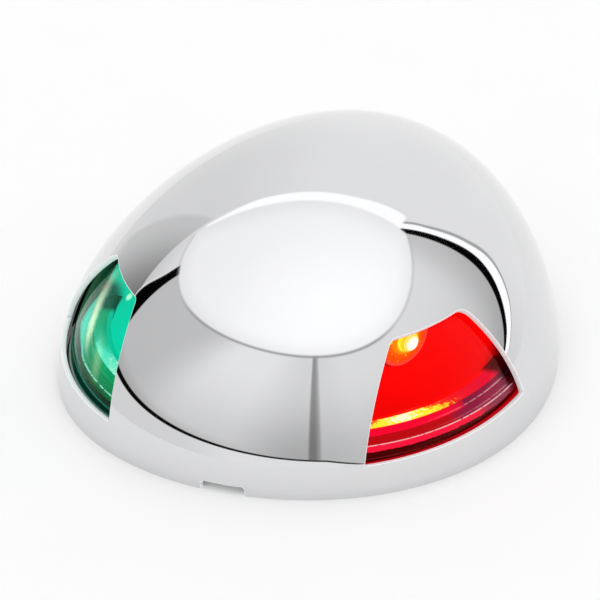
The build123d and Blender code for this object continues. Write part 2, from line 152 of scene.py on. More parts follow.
class Graph:
    """Short ways to build one node tree."""

    def __init__(self, tree):
        self.tree = tree
        self.nodes = tree.nodes
        self.links = tree.links

    def put(self, socket, value):
        """Links a socket to another, or sets its value."""
        if isinstance(value, bpy.types.NodeSocket):
            self.links.new(value, socket)
        elif isinstance(value, Field):
            self.links.new(value.socket, socket)
        elif hasattr(socket.default_value, "__len__") and len(value) == 3 and len(socket.default_value) == 4:
            socket.default_value = (*value, 1.0)
        else:
            socket.default_value = value

    def node(self, kind, inputs=None, **settings):
        made = self.nodes.new(kind)
        for name, value in settings.items():
            setattr(made, name, value)
        for name, value in (inputs or {}).items():
            self.put(made.inputs[name], value)
        return made

    def math(self, operation, a, b=0.0, c=0.0):
        made = self.node("ShaderNodeMath", {0: a, 1: b, 2: c}, operation=operation)
        return Field(self, made.outputs[0])

    def smooth(self, value, low, high):
        """0 below low, 1 above high, smooth between."""
        inputs = {"Value": value, "From Min": low, "From Max": high}
        made = self.node("ShaderNodeMapRange", inputs, interpolation_type="SMOOTHSTEP")
        return Field(self, made.outputs[0])

    def ramp(self, value, stops):
        """A colour ramp through (position, colour) stops."""
        made = self.node("ShaderNodeValToRGB", {0: value})
        elements = made.color_ramp.elements
        while len(elements) < len(stops):
            elements.new(0.5)
        for element, (position, colour) in zip(elements, stops):
            element.position = position
            element.color = (*colour, 1.0) if len(colour) == 3 else colour
        return made.outputs[0]

    def mix(self, amount, first, second):
        """One colour turning into another."""
        made = self.node("ShaderNodeMix", data_type="RGBA")
        self.put(made.inputs["Factor"], amount)
        self.put(made.inputs[6], first)
        self.put(made.inputs[7], second)
        return made.outputs[2]

    def noise(self, scale, detail=4.0, rough=0.5, vector=None, distort=0.0):
        inputs = {"Scale": scale, "Detail": detail, "Roughness": rough, "Distortion": distort}
        inputs["Vector"] = vector or self.coords()
        return Field(self, self.node("ShaderNodeTexNoise", inputs).outputs[0])

    def cells(self, scale):
        """Distance from the middles of scattered cells."""
        made = self.node("ShaderNodeTexVoronoi", {"Vector": self.coords(), "Scale": scale})
        return made.outputs["Distance"]

    def coords(self):
        return self.node("ShaderNodeTexCoord").outputs["Object"]

    def xyz(self, vector):
        made = self.node("ShaderNodeSeparateXYZ", {0: vector})
        return [Field(self, made.outputs[i]) for i in range(3)]

    def distance(self, place, centre):
        """Distance of a place, as three fields, from a point."""
        steps = [part - at for part, at in zip(place, centre)]
        return self.math("SQRT", steps[0] * steps[0] + steps[1] * steps[1] + steps[2] * steps[2])

    def off_axis(self, flip):
        """Distance from the port lamp's own axis, or from its mirror image where flip is -1, in metres."""
        mirror = Vector((flip, 1.0, 1.0))
        ahead = Vector((math.sin(LAMP_HEADING), -math.cos(LAMP_HEADING), 0.0))
        place = self.node("ShaderNodeNewGeometry").outputs["Position"]
        step = self.node("ShaderNodeVectorMath", {0: place, 1: LAMP_AT * mirror}, operation="SUBTRACT")
        both = {0: step.outputs[0], 1: ahead * mirror}
        swept = self.node("ShaderNodeVectorMath", both, operation="CROSS_PRODUCT")
        length = self.node("ShaderNodeVectorMath", {0: swept.outputs[0]}, operation="LENGTH")
        return Field(self, length.outputs["Value"])

    def bump(self, height, strength, distance):
        inputs = {"Height": height, "Strength": strength, "Distance": distance}
        return self.node("ShaderNodeBump", inputs).outputs[0]


class Field:
    """A number in a node tree that can be added, multiplied and compared."""

    def __init__(self, graph, socket):
        self.graph = graph
        self.socket = socket

    def __add__(self, other):
        return self.graph.math("ADD", self, other)

    def __sub__(self, other):
        return self.graph.math("SUBTRACT", self, other)

    def __rsub__(self, other):
        return self.graph.math("SUBTRACT", other, self)

    def __mul__(self, other):
        return self.graph.math("MULTIPLY", self, other)

    def __truediv__(self, other):
        return self.graph.math("DIVIDE", self, other)

    __radd__ = __add__
    __rmul__ = __mul__


def material(name):
    """A new material with its graph and Principled shader."""
    made = bpy.data.materials.new(name)
    made.use_nodes = True
    graph = Graph(made.node_tree)
    shader = graph.nodes["Principled BSDF"]
    return made, graph, shader


def shade(graph, shader, **values):
    """Sets Principled inputs by their names with underscores for spaces."""
    for name, value in values.items():
        graph.put(shader.inputs[name.replace("_", " ")], value)


def polished_metal():
    """Mirror-polished stainless: faint buffing haze and hairlines."""
    made, graph, shader = material("polished_metal")
    haze = graph.noise(90.0, 5.0)
    hairlines = graph.node("ShaderNodeMapping", {"Vector": graph.coords(), "Scale": (4.0, 60.0, 4.0)})
    lines = graph.noise(160.0, 3.0, vector=hairlines.outputs[0])
    shade(graph, shader, Metallic=1.0, Roughness=0.015 + haze * 0.015 + lines * 0.008)
    tone = graph.ramp(haze, [(0.3, (0.71, 0.712, 0.722)), (0.7, (0.725, 0.727, 0.738))])
    shade(graph, shader, Base_Color=tone)
    return made


def cut_metal():
    """The sheet's cut edge: brushed smooth rather than polished, made bright by a painted glow."""
    made, graph, shader = material("cut_metal")
    drag = graph.node("ShaderNodeMapping", {"Vector": graph.coords(), "Scale": (40.0, 40.0, 6.0)})
    lines = graph.noise(120.0, 3.0, vector=drag.outputs[0])
    bare = graph.ramp(lines, [(0.3, (0.74, 0.745, 0.755)), (0.7, (0.86, 0.865, 0.87))])
    shade(graph, shader, Base_Color=bare, Metallic=0.35, Roughness=0.5 + lines * 0.12)
    # painted highlight: a faint glow that keeps the cut edge bright
    shade(graph, shader, Emission_Color=(0.19, 0.2, 0.205), Emission_Strength=1.0)
    return made


def clear_colour(name, tint, gleam=None, ior=ACRYLIC_IOR):
    """Clear moulded acrylic in one colour, with a very faint flow texture."""
    made, graph, shader = material(name)
    flow = graph.noise(220.0, 3.0)
    shade(graph, shader, Base_Color=tint, IOR=ior, Roughness=0.01 + flow * 0.02)
    shade(graph, shader, Transmission_Weight=1.0, Specular_Tint=tint)
    shade(graph, shader, Normal=graph.bump(flow, 0.03, 0.0004))
    if gleam:
        gleam(graph, shader)
    return made


def lens_looks(name, tint, gleam, ior=ACRYLIC_IOR):
    """A lens wall's materials: its outer face, which gleams, its edges and its inner face."""
    plain = clear_colour(name + "_inner", tint, ior=ior)
    return [clear_colour(name, tint, gleam, ior), plain, plain]


def lit_edge(graph, shader):
    """The port lens's lowest edge, lit red from inside."""
    y, z = graph.xyz(graph.coords())[1:]
    level = z - (y + 40.0 * MM) * 0.042
    edge = graph.smooth(level, 4.88 * MM, 4.78 * MM) * 0.5
    shade(graph, shader, Emission_Color=(0.75, 0.0, 0.01), Emission_Strength=edge)


def tall_gleam(graph, shader):
    """Painted pale light on the starboard lens: a tall streak, a fainter one inside it, a small spot and a
    faint green glow at its outer side.
    """
    x, y, z = graph.xyz(graph.coords())
    path = x * -1.0 - (31.1 * MM - (z - 12.0 * MM) * (z - 12.0 * MM) * 38.0)
    streaks = graph.noise(900.0, 3.0)
    width = 1.0 - graph.smooth(graph.math("ABSOLUTE", path) + (streaks - 0.5) * 0.0008, 0.0, 0.0013)
    height = graph.smooth(z, 8.6 * MM, 12.5 * MM) * (1.0 - graph.smooth(z, 13.0 * MM, 19.5 * MM))
    inner = x * -1.0 - 27.3 * MM
    inner = 1.0 - graph.smooth(graph.math("ABSOLUTE", inner), 0.0, 0.0016)
    low = graph.smooth(z, 6.5 * MM, 9.5 * MM) * (1.0 - graph.smooth(z, 11.0 * MM, 14.0 * MM))
    inner = inner * low * 0.18
    spot = graph.smooth(graph.distance((x, y, z), SPOT_AT), 0.0009, 0.0003) * 0.6
    outer = graph.smooth(x, -33.0 * MM, -35.5 * MM) * 0.06
    strength = width * height * (0.5 + streaks * 0.7) + inner + spot + outer
    shade(graph, shader, Emission_Color=graph.mix(outer * 12.0, (0.88, 1.0, 0.66), (0.03, 0.9, 0.4)))
    shade(graph, shader, Emission_Strength=strength * 0.85)


def moulded_plastic(name, dark, light, rough, grain=1400.0):
    """Moulded plastic with a fine spark-eroded grain and slight tone drift."""
    made, graph, shader = material(name)
    drift = graph.noise(60.0, 4.0)
    texture = graph.noise(grain * 2, 2.0)
    shade(graph, shader, Base_Color=graph.ramp(drift, [(0.3, dark), (0.7, light)]))
    shade(graph, shader, Roughness=rough + texture * 0.15 - 0.075)
    shade(graph, shader, Normal=graph.bump(texture, 0.15, 0.0001))
    return made


def lit_moulding(name, near, far, tint):
    """White reflector plastic flooded by its LED's light, painted on as a glow, with painted shade only in
    its outer corner by the foot.
    """
    made, graph, shader = material(name)
    x, y, z = graph.xyz(graph.coords())
    side = graph.math("ABSOLUTE", x)
    reach = graph.smooth(graph.distance((side, y, z), LAMP_AT), 0.005, 0.024)
    # painted shade: the glow fades out in the outer corner by the foot
    corner = graph.smooth(side, 31.4 * MM, 34.0 * MM) * graph.smooth(z, 12.5 * MM, 9.5 * MM)
    cloud = graph.noise(130.0, 2.0)
    tone = graph.mix(reach, behind(tint, near), behind(tint, far))
    texture = graph.noise(2600.0, 2.0)
    # the base colour too is dimly tinted with the LED's light, painted in
    lit = [(0.3, tuple(part * 0.10 for part in tint)), (0.7, tuple(part * 0.12 for part in tint))]
    shade(graph, shader, Base_Color=graph.ramp(graph.noise(60.0), lit), Roughness=0.4, Emission_Color=tone)
    shade(graph, shader, Specular_IOR_Level=0.0)
    shade(graph, shader, Emission_Strength=(1.0 - corner * 0.97) * (0.93 + cloud * 0.14) * GLOW)
    shade(graph, shader, Normal=graph.bump(texture, 0.1, 0.0001))
    return made


def rubber(name, tone=0.02):
    """Dull black elastomer with a faint bloom."""
    made, graph, shader = material(name)
    bloom = graph.noise(150.0, 6.0)
    fine = graph.noise(2500.0, 2.0)
    shade(graph, shader, Base_Color=graph.ramp(bloom, [(0.35, (tone,) * 3), (0.75, (tone * 2.2,) * 3)]))
    shade(graph, shader, Roughness=0.62 + bloom * 0.2, Normal=graph.bump(fine, 0.25, 0.0001))
    return made


def foam(name):
    """Closed-cell foam: small round cells."""
    made, graph, shader = material(name)
    cells = graph.cells(1400.0)
    shade(graph, shader, Base_Color=graph.ramp(cells, [(0.0, (0.3,) * 3), (0.6, (0.5,) * 3)]))
    shade(graph, shader, Roughness=0.85, Normal=graph.bump(cells, 0.5, 0.0002))
    return made


def rolled_metal(name, dark, light, rough, stretch=(4.0, 4.0, 60.0)):
    """Rolled or turned metal with fine directional lines."""
    made, graph, shader = material(name)
    mapping = graph.node("ShaderNodeMapping", {"Vector": graph.coords(), "Scale": stretch})
    lines = graph.noise(300.0, 4.0, vector=mapping.outputs[0])
    shade(graph, shader, Metallic=1.0, Base_Color=graph.ramp(lines, [(0.3, dark), (0.7, light)]))
    shade(graph, shader, Roughness=rough + lines * 0.12, Normal=graph.bump(lines, 0.08, 0.0001))
    return made


def circuit_board(name, mask, trace, scale=420.0):
    """Solder mask with copper traces showing through as a lighter pattern."""
    made, graph, shader = material(name)
    mapping = graph.node("ShaderNodeMapping", {"Vector": graph.coords(), "Scale": (1.0, 1.0, 0.0)})
    bricks = graph.node("ShaderNodeTexBrick", {"Vector": mapping.outputs[0], "Scale": scale,
                                               "Mortar Size": 0.06, "Color1": mask, "Color2": mask,
                                               "Mortar": trace})
    weave = graph.noise(1500.0, 2.0)
    shade(graph, shader, Base_Color=bricks.outputs[0], Roughness=0.3 + weave * 0.15)
    shade(graph, shader, Normal=graph.bump(bricks.outputs["Fac"], 0.2, 0.00005))
    return made


def led_rings(graph, tint, rings, radius):
    """Colours of the rings of light round a lamp's axis, each from a radius in millimetres."""
    reach = rings[-1][0]
    stops = [(millimetres / reach, behind(tint, levels)) for millimetres, levels in rings]
    return graph.ramp(radius / (reach * MM), stops)


def lit_led(name, tint, rings, flip):
    """A lit LED: a white-hot middle inside coloured rings."""
    made, graph, shader = material(name)
    radius = graph.off_axis(flip) + (graph.noise(1600.0, 3.0) - 0.5) * 0.00012
    shade(graph, shader, Base_Color=(0.5, 0.48, 0.4), Roughness=0.25)
    shade(graph, shader, Emission_Color=led_rings(graph, tint, rings, radius), Emission_Strength=GLOW)
    return made


def lit_board(name, tint, rings, flip, speck, edge):
    """The LED board's white face with its LED's light painted on in rings, painted glints on solder specks
    and a paler painted rim of light.
    """
    made, graph, shader = material(name)
    radius = graph.off_axis(flip) + (graph.noise(1600.0, 3.0) - 0.5) * 0.0003
    glow = led_rings(graph, tint, rings, radius)
    patches = graph.noise(900.0, 4.0)
    cells = graph.cells(1500.0)
    # painted glints on solder specks, in a ring round the LED
    specks = graph.smooth(cells, 0.34, 0.16) * graph.smooth(patches, 0.45, 0.54)
    specks = specks * graph.smooth(radius, 0.0021, 0.0025) * graph.smooth(radius, 0.0047, 0.0033)
    glow = graph.mix(specks, glow, behind(tint, speck))
    # painted paler rim of light at the board's edge
    glow = graph.mix(graph.smooth(radius, 0.0042, 0.0048), glow, behind(tint, edge))
    # base colour tinted with the LED's light, painted in
    shade(graph, shader, Base_Color=tuple(part * 0.3 for part in tint), Roughness=0.3)
    shade(graph, shader, Emission_Color=glow, Emission_Strength=GLOW)
    shade(graph, shader, Normal=graph.bump(patches, 0.15, 0.0001))
    return made


def lit_foot(name, tint, looks):
    """The lens foot's steps, all painted light: a ribbed ledge with the LED's light pool, risers lit at the
    bow and shaded aft, glinting highlight lines along the edges, and shade below and aft.
    """
    made, graph, shader = material(name)
    x, y, z = graph.xyz(graph.coords())
    side = graph.math("ABSOLUTE", x)
    drop = Field(graph, graph.node("ShaderNodeAttribute", attribute_name="drop").outputs["Fac"])
    shown = {part: behind(tint, levels) for part, levels in looks.items()}
    aft = graph.smooth(y, -33.0 * MM, -17.0 * MM)
    rough = graph.noise(1500.0, 4.0)
    patches = graph.noise(420.0, 3.0)
    ribs = graph.math("SINE", graph.math("ARCTAN2", side, y * -1.0) * 620.0) * 0.5 + 0.5
    # the ledge, with the pool of light opposite the LED
    pool = graph.distance((side, y, z), POOL_AT) + (patches - 0.5) * 0.004
    ledge = graph.mix(aft, shown["ledge_bow"], shown["ledge_aft"])
    ledge = graph.mix(graph.smooth(pool, 0.0095, 0.0045), ledge, shown["pool_rim"])
    outer = graph.smooth(drop, 0.6, 1.3)
    reach = pool + (rough - 0.5) * 0.012 - ribs * outer * 0.003 - outer * 0.0012
    spark = graph.smooth(reach, 0.0058, 0.0036)
    ledge = graph.mix(spark, ledge, shown["pool"])
    ledge = graph.mix(graph.smooth(pool + (rough - 0.5) * 0.016, 0.0026, 0.0008), ledge, shown["glint"])
    # the steps below it, each from a drop in the section, in painted light: lit at the bow, shaded aft
    fade = graph.smooth(aft + (patches - 0.5) * 0.5, 0.30, 0.65)
    upper = graph.mix(fade, shown["upper_bow"], shown["upper_aft"])
    fade = graph.smooth(aft + (patches - 0.5) * 0.3, 0.15, 0.5)
    middle = graph.mix(fade, shown["middle_bow"], shown["middle_aft"])
    fade = graph.smooth(aft + (patches - 0.5) * 0.4, 0.5, 0.95)
    lower = graph.mix(fade, shown["lower_bow"], shown["lower_aft"])
    tone = graph.mix(graph.smooth(drop + (rough - 0.5) * 0.15, 0.42, 0.5), shown["field"], ledge)
    tone = graph.mix(graph.smooth(drop, 1.58, 1.66), tone, upper)
    tone = graph.mix(graph.smooth(drop + (rough - 0.5) * 0.25, 2.65, 2.8), tone, middle)
    tone = graph.mix(graph.smooth(drop, 4.05, 4.1), tone, lower)
    # painted shade at the foot's bottom
    tone = graph.mix(graph.smooth(drop + (rough - 0.5) * 0.4, 5.0, 5.12), tone, shown["dark"])
    # painted highlight lines along the steps' edges
    for at, strength in ((4.1, 0.85), (2.5, aft * 0.5), (3.72, aft * 0.3)):
        line = graph.smooth(graph.math("ABSOLUTE", drop - at), 0.11, 0.05) * graph.smooth(rough, 0.36, 0.46)
        tone = graph.mix(line * strength, tone, shown["line"])
    # painted shade at the foot's aft end
    tone = graph.mix(graph.smooth(y, -16.0 * MM, -13.8 * MM) * 0.97, tone, shown["dark"])
    shade(graph, shader, Base_Color=(0.02, 0.02, 0.02), Roughness=0.2)
    shade(graph, shader, Emission_Color=tone, Emission_Strength=GLOW)
    return made


def wound_copper(name):
    """Enamelled copper turns."""
    made, graph, shader = material(name)
    z = graph.xyz(graph.coords())[2]
    turns = graph.math("SINE", z * 12000.0)
    tone = graph.ramp(turns * 0.5 + 0.5, [(0.0, (0.25, 0.09, 0.04)), (1.0, (0.62, 0.28, 0.13))])
    shade(graph, shader, Metallic=0.8, Base_Color=tone, Roughness=0.3)
    shade(graph, shader, Normal=graph.bump(turns, 0.4, 0.0002))
    return made


# --- the dome's mesh ------------------------------------------------------------------------------

def egg_point(climb, turn, inset=0.0):
    """A point of the dome at a climb from the rim and a turn from astern, towards port."""
    across = math.cos(climb) * math.sin(turn)
    along = math.cos(climb) * math.cos(turn)
    rise = math.sin(climb)
    x = (HALF_WIDTH - inset) * across * (1 - EGG * along)
    y = (HALF_LENGTH - inset) * along + CROWN_AFT * rise**2
    return Vector((x, y, (HEIGHT - inset) * rise))


def egg_normal(point, inset=0.0):
    """Outward normal of the dome at one of its points, from the surface's own equation."""
    width, length, height = HALF_WIDTH - inset, HALF_LENGTH - inset, HEIGHT - inset
    rise = min(1.0, max(0.0, point.z / height))
    along = (point.y - CROWN_AFT * rise**2) / length
    taper = 1 - EGG * along
    across = point.x / (width * taper)
    by_along = 2 * along + 2 * across**2 * EGG / taper
    gradient = Vector((2 * across / (width * taper), by_along / length, 0.0))
    gradient.z = (2 * rise - by_along * 2 * CROWN_AFT * rise / length) / height
    return gradient.normalized()


def egg_skin(inset, climbs, turns, low=0.0):
    """The dome's outer skin as a bmesh, from the given height to the crown."""
    bm = bmesh.new()
    start = math.asin(low / (HEIGHT - inset))
    rings = []
    for i in range(climbs):
        climb = start + (math.pi / 2 - start) * i / climbs
        rings.append([bm.verts.new(egg_point(climb, 2 * math.pi * j / turns, inset)) for j in range(turns)])
    crown = bm.verts.new(egg_point(math.pi / 2, 0.0, inset))
    for lower, upper in zip(rings, rings[1:]):
        for j in range(turns):
            k = (j + 1) % turns
            bm.faces.new((lower[j], upper[j], upper[k], lower[k]))
    for j in range(turns):
        bm.faces.new((rings[-1][j], crown, rings[-1][(j + 1) % turns]))
    bm.normal_update()
    bm.faces.ensure_lookup_table()
    if bm.faces[0].normal.dot(egg_normal(bm.faces[0].calc_center_median(), inset)) < 0:
        bmesh.ops.reverse_faces(bm, faces=bm.faces[:])
    return bm


def rounded_corner(corner, first, second, radius, steps=8):
    """Half-spaces that round the corner between two planes, given their outward normals."""
    middle = corner - (first + second) * radius
    cuts = []
    for i in range(1, steps):
        turn = math.pi / 2 * i / steps
        normal = first * math.cos(turn) + second * math.sin(turn)
        cuts.append((middle + normal * radius, normal))
    return cuts


def window_region(grow):
    """The port window as half-spaces (point, outward normal), with its rounded corners."""
    rake = Matrix.Rotation(WINDOW_RAKE, 3, "X")
    foot = Vector((0, WINDOW_AFT, 0))
    near, aft = Vector((-1, 0, 0)), rake @ Vector((0, 1, 0))
    sill, head = rake @ Vector((0, 0, -1)), rake @ Vector((0, 0, 1))
    near_sill = foot + rake @ Vector((WINDOW_NEAR - grow, 0, WINDOW_SILL - grow))
    near_head = foot + rake @ Vector((WINDOW_NEAR - grow, 0, WINDOW_HEAD + grow))
    aft_sill = foot + rake @ Vector((0, grow, WINDOW_SILL - grow))
    aft_head = foot + rake @ Vector((0, grow, WINDOW_HEAD + grow))
    region = [(near_sill, near), (near_sill, sill), (aft_head, aft), (aft_head, head)]
    region += rounded_corner(near_sill, near, sill, WINDOW_CORNER + grow)
    region += rounded_corner(near_head, near, head, WINDOW_CORNER + grow)
    region += rounded_corner(aft_sill, aft, sill, WINDOW_CORNER + grow)
    region += rounded_corner(aft_head, aft, head, WINDOW_AFT_CORNER + grow)
    return region


def chamber_region(shrink=0.0):
    """The port lamp chamber's corner of the dome as half-spaces."""
    return [
        (Vector((CHAMBER_NEAR + shrink, 0, 0)), Vector((-1, 0, 0))),
        (Vector((0, CHAMBER_AFT - shrink, 0)), Vector((0, 1, 0))),
        (Vector((0, 0, CHAMBER_HEAD - shrink)), Vector((0, 0, 1))),
    ]


def notch_region():
    """The pry notch in the bow rim as half-spaces."""
    up, port, starboard = Vector((0, 0, 1)), Vector((1, 0, 0)), Vector((-1, 0, 0))
    port_top = Vector((NOTCH_HALF, 0, NOTCH_HEIGHT))
    starboard_top = Vector((-NOTCH_HALF, 0, NOTCH_HEIGHT))
    region = [(port_top, port), (port_top, up), (starboard_top, starboard)]
    region += rounded_corner(port_top, port, up, NOTCH_CORNER)
    region += rounded_corner(starboard_top, starboard, up, NOTCH_CORNER)
    return region + [(Vector((0, 0, 0)), Vector((0, 1, 0)))]


def mirrored(region):
    """The same region on the other side of the bow plane."""
    flip = Vector((-1, 1, 1))
    return [(point * flip, normal * flip) for point, normal in region]


def inside(point, region, slack=1e-7):
    return all((point - at).dot(normal) < slack for at, normal in region)


def split_along(bm, region, margin=0.004):
    """Cuts edges into the mesh along the region's sides, near the region only."""
    wider = [(at + normal * margin, normal) for at, normal in region]
    for at, normal in region:
        near = [f for f in bm.faces if inside(f.calc_center_median(), wider)]
        geometry = near + list({e for f in near for e in f.edges}) + list({v for f in near for v in f.verts})
        bmesh.ops.bisect_plane(bm, geom=geometry, dist=1e-7, plane_co=at, plane_no=normal)


def cut_out(bm, region):
    """Removes the region from the mesh, with clean edges along its sides."""
    split_along(bm, region)
    gone = [f for f in bm.faces if inside(f.calc_center_median(), region)]
    bmesh.ops.delete(bm, geom=gone, context="FACES")


def keep_only(bm, region):
    """Keeps only the region of the mesh."""
    split_along(bm, region, margin=1.0)
    gone = [f for f in bm.faces if not inside(f.calc_center_median(), region)]
    bmesh.ops.delete(bm, geom=gone, context="FACES")


def thicken(bm, inset, wall, low, steps=8):
    """Gives the skin its wall, with rounded cut edges. Returns the outer, inner and edge face lists."""
    outer_faces = list(bm.faces)
    outer = list(bm.verts)
    normals = {v: egg_normal(v.co, inset) for v in outer}
    inner = {v: bm.verts.new(v.co - normals[v] * wall) for v in outer}
    for v in outer:
        if v.co.z < low + 1e-7:
            inner[v].co.z = low
    boundary = [e for e in bm.edges if e.is_boundary]
    outward = {}
    for edge in boundary:
        a, b = edge.verts
        face = edge.link_faces[0]
        away = (b.co - a.co).cross(face.normal).normalized()
        if away.dot(face.calc_center_median() - a.co) > 0:
            away.negate()
        for v in edge.verts:
            outward.setdefault(v, Vector()).__iadd__(away)
    inner_faces = [bm.faces.new([inner[v] for v in reversed(face.verts)]) for face in outer_faces]
    profile = {}
    for v, away in outward.items():
        away = away.normalized()
        middle = (v.co + inner[v].co) / 2
        across = (v.co - inner[v].co) / 2
        row = [v]
        for i in range(1, steps):
            turn = math.pi * i / steps
            spread = wall * EDGE_BULGE * math.sin(turn) ** 0.45
            row.append(bm.verts.new(middle + across * math.cos(turn) + away * spread))
        profile[v] = row + [inner[v]]
    edge_faces = []
    for edge in boundary:
        a, b = edge.verts
        if next(loop for loop in edge.link_loops).vert is not a:
            a, b = b, a
        for i in range(steps):
            corners = (profile[a][i], profile[a][i + 1], profile[b][i + 1], profile[b][i])
            edge_faces.append(bm.faces.new(corners))
    return outer_faces, inner_faces, edge_faces


def finish_skin(bm, name, inset, wall, low=0.0):
    """Turns a thickened skin into an object whose dome faces carry the exact dome normals."""
    bm.normal_update()
    outer, inner, edges = thicken(bm, inset, wall, low)
    bm.normal_update()
    bm.faces.ensure_lookup_table()
    kinds = {}
    for kind, faces in ((1, outer), (-1, inner), (0, edges)):
        for face in faces:
            kinds[face] = kind
    bm.verts.index_update()
    bm.faces.index_update()
    kind_by_face = [kinds[f] for f in bm.faces]
    for index, faces in enumerate((outer, edges, inner)):
        for face in faces:
            face.material_index = index
    mesh = bpy.data.meshes.new(name)
    bm.to_mesh(mesh)
    bm.free()
    for polygon in mesh.polygons:
        polygon.use_smooth = True
    soft = {}
    for polygon in mesh.polygons:
        if kind_by_face[polygon.index] == 0:
            for v in polygon.vertices:
                soft.setdefault(v, Vector()).__iadd__(polygon.normal)
    normals = []
    for polygon in mesh.polygons:
        kind = kind_by_face[polygon.index]
        for v in polygon.vertices:
            if kind == 0:
                normals.append(soft[v].normalized())
            else:
                at = mesh.vertices[v].co
                normals.append(egg_normal(at, inset) * kind)
    mesh.normals_split_custom_set(normals)
    made = bpy.data.objects.new(name, mesh)
    bpy.context.scene.collection.objects.link(made)
    return made


def cover_skin():
    """The polished cover: dome, two windows, pry notch."""
    bm = egg_skin(0.0, 110, 288)
    window = window_region(EDGE_BULGE * SHEET)
    for region in (window, mirrored(window), notch_region()):
        cut_out(bm, region)
    return finish_skin(bm, "cover_skin", 0.0, SHEET)


def lens_skin(side, place):
    """One lens's clear wall: its corner of the module's dome."""
    bm = egg_skin(MODULE_INSET, 100, 240, PLATE_TOP)
    region = chamber_region(EDGE_BULGE * MODULE_WALL)
    keep_only(bm, place(region))
    return finish_skin(bm, side + "_lens_wall", MODULE_INSET, MODULE_WALL, PLATE_TOP)


def bevelled(section, bevel):
    """A section with each inner corner replaced by a short chamfer."""
    points = [Vector(section[0])]
    for before, corner, after in zip(section, section[1:], section[2:]):
        before, corner, after = Vector(before), Vector(corner), Vector(after)
        points.append(corner + (before - corner).normalized() * bevel)
        points.append(corner + (after - corner).normalized() * bevel)
    return points + [Vector(section[-1])]


def lens_foot(side, place, turns=720):
    """One lens's foot: three steps that follow the dome's plan."""
    section = bevelled([(inset * MM, z * MM) for inset, z in FOOT_SECTION], FOOT_BEVEL)
    top = Vector(FOOT_SECTION[1])
    bm = bmesh.new()
    drop = bm.verts.layers.float.new("drop")
    columns = []
    for j in range(turns):
        turn = 2 * math.pi * j / turns
        column = []
        for inset, z in section:
            column.append(bm.verts.new(egg_point(math.asin(z / (HEIGHT - inset)), turn, inset)))
            column[-1][drop] = (top.x - inset / MM) * FLAT_DROP + top.y - z / MM
        columns.append(column)
    for j in range(turns):
        here, there = columns[j], columns[(j + 1) % turns]
        for i in range(len(section)):
            k = (i + 1) % len(section)
            bm.faces.new((here[i], there[i], there[k], here[k]))
    region = place(chamber_region())
    keep_only(bm, region)
    bmesh.ops.holes_fill(bm, edges=[e for e in bm.edges if e.is_boundary])
    bmesh.ops.recalc_face_normals(bm, faces=bm.faces[:])
    mesh = bpy.data.meshes.new(side + "_lens_foot")
    bm.to_mesh(mesh)
    bm.free()
    made = bpy.data.objects.new(mesh.name, mesh)
    bpy.context.scene.collection.objects.link(made)
    return made


# --- scene ----------------------------------------------------------------------------------------

def add_camera():
    """The photograph's view."""
    azimuth, elevation = math.radians(CAMERA_AZIMUTH), math.radians(CAMERA_ELEVATION)
    back = Vector((math.sin(azimuth) * math.cos(elevation), -math.cos(azimuth) * math.cos(elevation),
                   math.sin(elevation)))
    data = bpy.data.cameras.new("camera")
    data.lens, data.sensor_width = CAMERA_LENS, 36.0
    data.clip_start = 0.01
    camera = bpy.data.objects.new("camera", data)
    turn = (-back).to_track_quat("-Z", "Y").to_matrix().to_4x4()
    turn = turn @ Matrix.Rotation(math.radians(CAMERA_ROLL), 4, "Z")
    camera.matrix_world = Matrix.Translation(CAMERA_AIM + back * CAMERA_DISTANCE) @ turn
    bpy.context.scene.collection.objects.link(camera)
    bpy.context.scene.camera = camera


def add_floor():
    """A plain white table."""
    made, graph, shader = material("white_table")
    speck = graph.noise(40.0, 3.0)
    tone = graph.ramp(speck, [(0.3, (0.93,) * 3), (0.7, (0.94,) * 3)])
    shade(graph, shader, Base_Color=tone, Roughness=0.9, Specular_IOR_Level=0.0)
    shade(graph, shader, Emission_Color=(1.0, 1.0, 1.0), Emission_Strength=0.11)
    mesh = bpy.data.meshes.new("table_top")
    mesh.from_pydata([(-4, -4, 0), (4, -4, 0), (4, 4, 0), (-4, 4, 0)], [], [(0, 1, 2, 3)])
    table = bpy.data.objects.new("table_top", mesh)
    table.location.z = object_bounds()[0][2]
    table.data.materials.append(made)
    bpy.context.scene.collection.objects.link(table)


